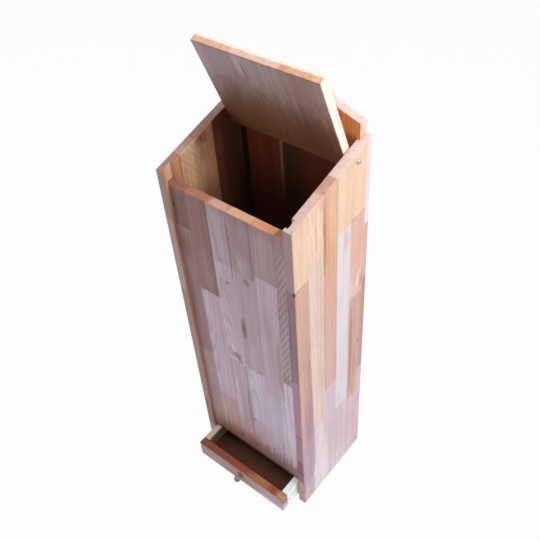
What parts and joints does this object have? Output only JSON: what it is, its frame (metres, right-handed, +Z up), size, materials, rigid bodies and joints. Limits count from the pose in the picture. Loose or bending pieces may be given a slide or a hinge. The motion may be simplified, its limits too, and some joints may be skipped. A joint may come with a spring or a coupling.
{
  "type": "upright bread box",
  "caption": "Tall free-standing wooden bread box for long loaves, with sloped sides, a pivoting lid, a shaped back crest and a crumb drawer with a ball knob.",
  "frame": {"origin": "middle of the back's lower edge, on the surface it stands on", "axes": "+Z up, -Y towards the front with the drawer, +X to the right seen from the front"},
  "size_m": [0.227, 0.223, 0.7933],
  "materials": {
    "side_wood": "edge-glued strips, thin satin oil",
    "front_wood": "edge-glued strips, thin satin oil",
    "back_wood": "edge-glued strips, thin satin oil",
    "lid_wood": "edge-glued strips, thin satin oil",
    "inner_wood": "sanded, unfinished",
    "drawer_front_wood": "thin satin oil",
    "drawer_side_wood": "sanded, unfinished",
    "drawer_bottom_board": "sanded thin board",
    "knob_wood": "turned, thin satin oil",
    "steel": "zinc plated",
    "screw_steel": "bright nickel plated"
  },
  "bodies": {
    "carcass": {"left_side": "side_wood", "right_side": "side_wood", "front_panel": "front_wood", "back_panel": "back_wood", "base_board": "inner_wood", "left_floor_cleat": "inner_wood", "right_floor_cleat": "inner_wood", "floor_slat_1": "inner_wood", "floor_slat_2": "inner_wood", "floor_slat_3": "inner_wood", "floor_slat_4": "inner_wood", "floor_slat_5": "inner_wood", "floor_slat_6": "inner_wood", "slat_brads": "steel", "cleat_brads": "steel"},
    "lid": {"lid": "lid_wood", "left_pivot_screw": "screw_steel", "right_pivot_screw": "screw_steel"},
    "drawer": {"drawer_front": "drawer_front_wood", "drawer_left_side": "drawer_side_wood", "drawer_right_side": "drawer_side_wood", "drawer_back": "drawer_side_wood", "drawer_bottom": "drawer_bottom_board", "drawer_knob": "knob_wood", "knob_screw": "steel", "drawer_dowels": "knob_wood", "drawer_brads": "steel"}
  },
  "joints": [
    {"name": "lid_hinge", "type": "hinge", "parent": "carcass", "child": "lid", "pos_m": [0, -0.03, 0.65973], "axis": [-1, 0, 0], "range_deg": [-83.4, 28]},
    {"name": "drawer_slide", "type": "slide", "parent": "carcass", "child": "drawer", "axis": [0, 1, 0], "range_m": [-0.062, 0.048]}
  ]
}
